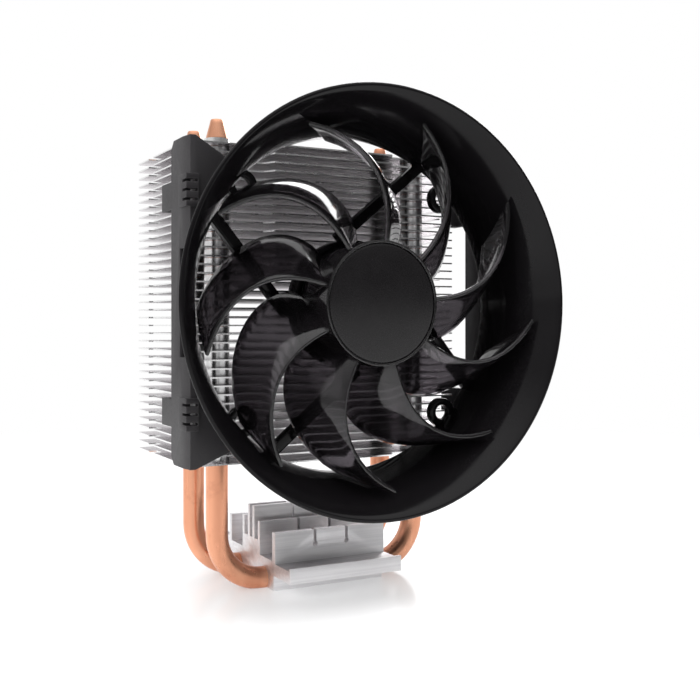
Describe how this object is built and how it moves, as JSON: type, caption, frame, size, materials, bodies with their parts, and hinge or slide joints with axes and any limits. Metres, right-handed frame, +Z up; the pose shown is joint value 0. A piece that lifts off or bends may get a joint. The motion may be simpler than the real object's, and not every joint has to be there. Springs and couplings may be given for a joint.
{
  "type": "cpu tower cooler",
  "caption": "Tower cooler for a processor: aluminium base, U-shaped copper heat pipes, a stack of thin fins and a clip-on bell-mouthed fan.",
  "frame": {"origin": "centre of the base's contact face", "axes": "+Z up from the processor along the tower, -Y towards the fan, +X to the right seen from the fan side"},
  "size_m": [0.1088, 0.08, 0.1316],
  "materials": {
    "fin_sheet": "bright rolled sheet, lightly satin",
    "base_metal": "extruded and sawn, satin",
    "copper_pipe": "drawn copper, satin, slightly tarnished",
    "gloss_black": "glossy moulded black plastic",
    "matt_black": "fine-grained moulded black plastic",
    "satin_black": "satin dark grey disc",
    "steel": "pressed and ground steel",
    "magnet": "bonded ferrite",
    "bronze": "oil-filled sintered bronze",
    "seal": "soft black seal",
    "insulator": "moulded ivory plastic",
    "winding": "enamelled copper wire",
    "board": "green circuit board",
    "chip": "black moulded chips"
  },
  "bodies": {
    "heatsink": {"base_block": "base_metal", "heatpipe_front": "copper_pipe", "heatpipe_rear": "copper_pipe", "fin_01": "fin_sheet", "fin_02": "fin_sheet", "fin_03": "fin_sheet", "fin_04": "fin_sheet", "fin_05": "fin_sheet", "fin_06": "fin_sheet", "fin_07": "fin_sheet", "fin_08": "fin_sheet", "fin_09": "fin_sheet", "fin_10": "fin_sheet", "fin_11": "fin_sheet", "fin_12": "fin_sheet", "fin_13": "fin_sheet", "fin_14": "fin_sheet", "fin_15": "fin_sheet", "fin_16": "fin_sheet", "fin_17": "fin_sheet", "fin_18": "fin_sheet", "fin_19": "fin_sheet", "fin_20": "fin_sheet", "fin_21": "fin_sheet", "fin_22": "fin_sheet", "fin_23": "fin_sheet", "fin_24": "fin_sheet", "fin_25": "fin_sheet", "fin_26": "fin_sheet", "fin_27": "fin_sheet", "fin_28": "fin_sheet", "fin_29": "fin_sheet", "fin_30": "fin_sheet", "fin_31": "fin_sheet", "fin_32": "fin_sheet", "fin_33": "fin_sheet", "fin_34": "fin_sheet", "fin_35": "fin_sheet", "fin_36": "fin_sheet", "fin_37": "fin_sheet", "fin_38": "fin_sheet"},
    "fan_frame": {"fan_shroud": "gloss_black", "bracket_left": "matt_black", "bracket_right": "matt_black", "bearing_sleeve": "bronze", "oil_ring": "seal", "bearing_cap": "seal", "stator_core": "steel", "insulator_front": "insulator", "insulator_rear": "insulator", "stator_coils": "winding", "circuit_board": "board", "board_parts": "chip"},
    "rotor": {"impeller": "gloss_black", "hub_cap": "satin_black", "rotor_yoke": "steel", "magnet_ring": "magnet", "fan_shaft": "steel", "shaft_clip": "steel"}
  },
  "joints": [
    {"name": "fan_unclip", "type": "slide", "parent": "heatsink", "child": "fan_frame", "axis": [0, -1, 0], "range_m": [0, 0.011]},
    {"name": "fan_spin", "type": "hinge", "parent": "fan_frame", "child": "rotor", "pos_m": [0, -0.036, 0.0772], "axis": [0, 1, 0], "continuous": true}
  ]
}
